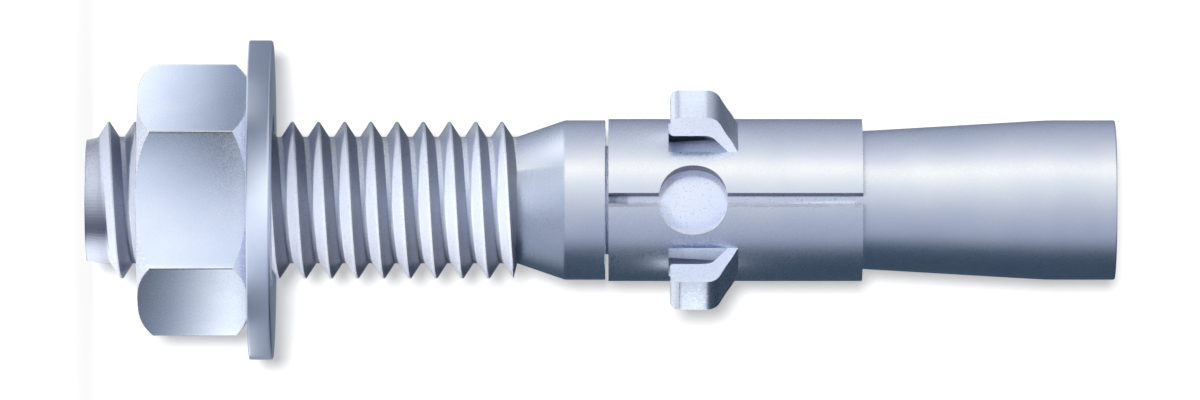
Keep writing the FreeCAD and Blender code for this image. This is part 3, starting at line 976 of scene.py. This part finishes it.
def build_washer_ring():
    """A narrow ring round the washer, whose level follows the turn."""
    radius, low, high = WASHER_RING
    around = even_angles(RING_COLUMNS)
    surface = turned(np.array([(radius, low), (radius, high)]) * MM, around, flip=True)
    levels = np.tile(np.interp(turns_of(around), WASHER_RING_TURNS, WASHER_RING_LEVELS), 2)
    add_glowing("washer_ring", surface, glow_colour(levels))


def seen_share(tree):
    """1 for rays from the camera and for those that come by way of gloss or glass, 0 for the rest."""
    rays = add(tree, "ShaderNodeLightPath").outputs
    mirrored = computed(tree, "MAXIMUM", rays["Is Glossy Ray"], rays["Is Transmission Ray"])
    return computed(tree, "MAXIMUM", rays["Is Camera Ray"], mirrored)


def white_paint(name, roughness):
    """A material of white paint, its node tree and the Principled shader in it."""
    material, tree, principled = new_material(name)
    return material, tree, fed(tree, principled, ("Base Color", "Roughness"), (PAPER_WHITE, roughness))


def floor_material():
    """White floor paint. Rays that see it find it white but for a soft shadow near the axis."""
    material, tree, paint = white_paint("Pale Floor", 0.9)
    across = stretched(tree, add(tree, "ShaderNodeTexCoord").outputs["Object"], (1, 1, 0))
    reach = fed(tree, add(tree, "ShaderNodeVectorMath", operation="LENGTH"), [0], [across]).outputs["Value"]
    share = computed(tree, "MULTIPLY", seen_share(tree), ranged(tree, reach, *FLOOR_FADE, *FLOOR_WHITE))
    white = add(tree, "ShaderNodeEmission").outputs[0]
    show(tree, mixed_shaders(tree, share, paint.outputs[0], white))
    return material


def backdrop_material():
    """White backdrop paint on which the object's soft shadow shows: part glows white, part is lit by a lamp.
    From behind it is clear."""
    material, tree, paint = white_paint("White Backdrop", 1.0)
    paint.inputs["Specular IOR Level"].default_value = 0.0
    white = add(tree, "ShaderNodeEmission").outputs[0]
    clear = add(tree, "ShaderNodeBsdfTransparent").outputs[0]
    front = mixed_shaders(tree, BACKDROP_GLOW, paint.outputs[0], white)
    behind = add(tree, "ShaderNodeNewGeometry").outputs["Backfacing"]
    show(tree, mixed_shaders(tree, behind, front, clear))
    return material


def build_floor(radius):
    """A pale disc just below the stud's end, which shades nothing."""
    disc = turned([(0, -FLOOR_DROP), (radius, -FLOOR_DROP)], even_angles(FLOOR_COLUMNS), flip=True)
    floor = new_object("pale_floor", *welded(*disc))
    floor.data.materials.append(floor_material())
    floor.visible_shadow = False


def build_backdrop():
    """A flat white wall behind the object, which only the camera and the sun see."""
    sides = np.array([[-1.0], [1.0]]) * BACKDROP_HALF
    corners = np.stack(np.broadcast_arrays(sides, BACKDROP_PLACE, BACKDROP_SPAN), axis=-1) * MM
    points, quads = grid(corners, flip=True)
    backdrop = new_object("white_backdrop", points, quads.tolist())
    backdrop.data.materials.append(backdrop_material())
    backdrop.visible_glossy = False
    backdrop.visible_diffuse = False
    backdrop.visible_shadow = False


def add_lamp(name, kind, place, target, power, colour, **settings):
    """A lamp at a place in millimetres, aimed at a target. It lights only what is dull."""
    data = bpy.data.lights.new(name, kind)
    data.energy = power
    data.color = colour
    for key, setting in settings.items():
        setattr(data, key, setting)
    lamp = bpy.data.objects.new(name, data)
    place, target = Vector(place) * MM, Vector(target) * MM
    aim = (target - place).to_track_quat("-Z", "Y").to_matrix().to_4x4()
    lamp.matrix_world = Matrix.Translation(place) @ aim
    lamp.visible_glossy = False
    lamp.visible_camera = False
    bpy.context.scene.collection.objects.link(lamp)
    return lamp


def gathered(name, members):
    """A collection of named objects, for a lamp to light or to be shaded by."""
    collection = bpy.data.collections.new(name)
    for member in members:
        collection.objects.link(bpy.data.objects[member])
    return collection


def build_lamps():
    """The spots that light the dull marks of the pieces, and the sun that lights only the backdrop."""
    groups = {None: None, "Lit Pieces": gathered("Lit Pieces", PIECES),
              "Stud Only": gathered("Stud Only", ["zinc_stud"]),
              "Nut Only": gathered("Nut Only", ["zinc_nut"])}
    for name, (place, target, power, colour, beam, blend, size, lit, shading) in SPOTS.items():
        spot = add_lamp(name, "SPOT", place, target, power, colour,
                        spot_size=np.radians(beam), spot_blend=blend, shadow_soft_size=size * MM)
        spot.light_linking.receiver_collection = groups[lit]
        spot.light_linking.blocker_collection = groups[shading]
    sun = add_lamp("shadow_sun", "SUN", SUN_PLACE, (0, 0, 0), SUN_POWER, (1.0, 1.0, 1.0),
                   angle=np.radians(SUN_ANGLE))
    sun.light_linking.receiver_collection = gathered("Backdrop Only", ["white_backdrop"])


def build_world(scene):
    """A world that is white where it is seen and dim where it lights."""
    world = bpy.data.worlds.new("Pale Studio")
    scene.world = world
    world.use_nodes = True
    tree = world.node_tree
    feed(tree, tree.nodes["Background"].inputs["Color"],
         mixed(tree, seen_share(tree), WORLD_DIM, WORLD_WHITE))
    world.cycles.sampling_method = "NONE"


def build_camera(scene, sizes):
    """A long lens that looks along +Y. The picture's right is +Z and its top is -X."""
    camera_data = bpy.data.cameras.new("front_camera")
    camera_data.lens = 400
    camera_data.sensor_width = 36
    camera_data.clip_start = 0.01
    camera_data.clip_end = 10
    distance = sizes.view_width * camera_data.lens / camera_data.sensor_width
    camera = bpy.data.objects.new("front_camera", camera_data)
    camera.matrix_world = Matrix(
        ((0, -1, 0, 0), (0, 0, -1, -distance), (1, 0, 0, sizes.view_height), (0, 0, 0, 1)))
    scene.collection.objects.link(camera)
    scene.camera = camera


class ANCHOR_OT_build_stage(bpy.types.Operator):
    """Set up the floor, the soft lights, the world and the camera"""
    bl_idname = "anchor.build_stage"
    bl_label = "Build Stage"

    def execute(self, context):
        scene = context.scene
        sizes = scene.anchor_stage
        build_floor(sizes.floor_radius)
        build_tent(sizes.tent_radius)
        for name, card in CARDS.items():
            build_card(name, *card)
        build_washer_ring()
        build_backdrop()
        build_lamps()
        build_world(scene)
        build_camera(scene, sizes)
        scene.view_settings.view_transform = "Standard"
        return {"FINISHED"}


class VIEW3D_PT_wedge_anchor(bpy.types.Panel):
    """Lists the steps that build the wedge anchor"""
    bl_idname = "VIEW3D_PT_wedge_anchor"
    bl_label = "Wedge Anchor"
    bl_space_type = "VIEW_3D"
    bl_region_type = "UI"
    bl_category = "Wedge Anchor"

    def draw(self, context):
        for operator in OPERATORS:
            self.layout.operator(operator.bl_idname)


OPERATORS = (ANCHOR_OT_build_stud, ANCHOR_OT_build_nut, ANCHOR_OT_build_washer, ANCHOR_OT_build_clip,
             ANCHOR_OT_build_stage)
SETTINGS = {"anchor_stud": StudSizes, "anchor_nut": NutSizes, "anchor_washer": WasherSizes,
            "anchor_clip": ClipSizes, "anchor_finish": FinishColours, "anchor_stage": StageSizes}


def register():
    for settings in SETTINGS.values():
        bpy.utils.register_class(settings)
    for operator in OPERATORS:
        bpy.utils.register_class(operator)
    bpy.utils.register_class(VIEW3D_PT_wedge_anchor)
    for name, settings in SETTINGS.items():
        setattr(bpy.types.Scene, name, bpy.props.PointerProperty(type=settings))


def unregister():
    for name in SETTINGS:
        delattr(bpy.types.Scene, name)
    bpy.utils.unregister_class(VIEW3D_PT_wedge_anchor)
    for operator in reversed(OPERATORS):
        bpy.utils.unregister_class(operator)
    for settings in reversed(SETTINGS.values()):
        bpy.utils.unregister_class(settings)


def main():
    register()
    bpy.ops.anchor.build_stud()
    bpy.ops.anchor.build_nut()
    bpy.ops.anchor.build_washer()
    bpy.ops.anchor.build_clip()
    bpy.ops.anchor.build_stage()


if __name__ == "__main__":
    main()
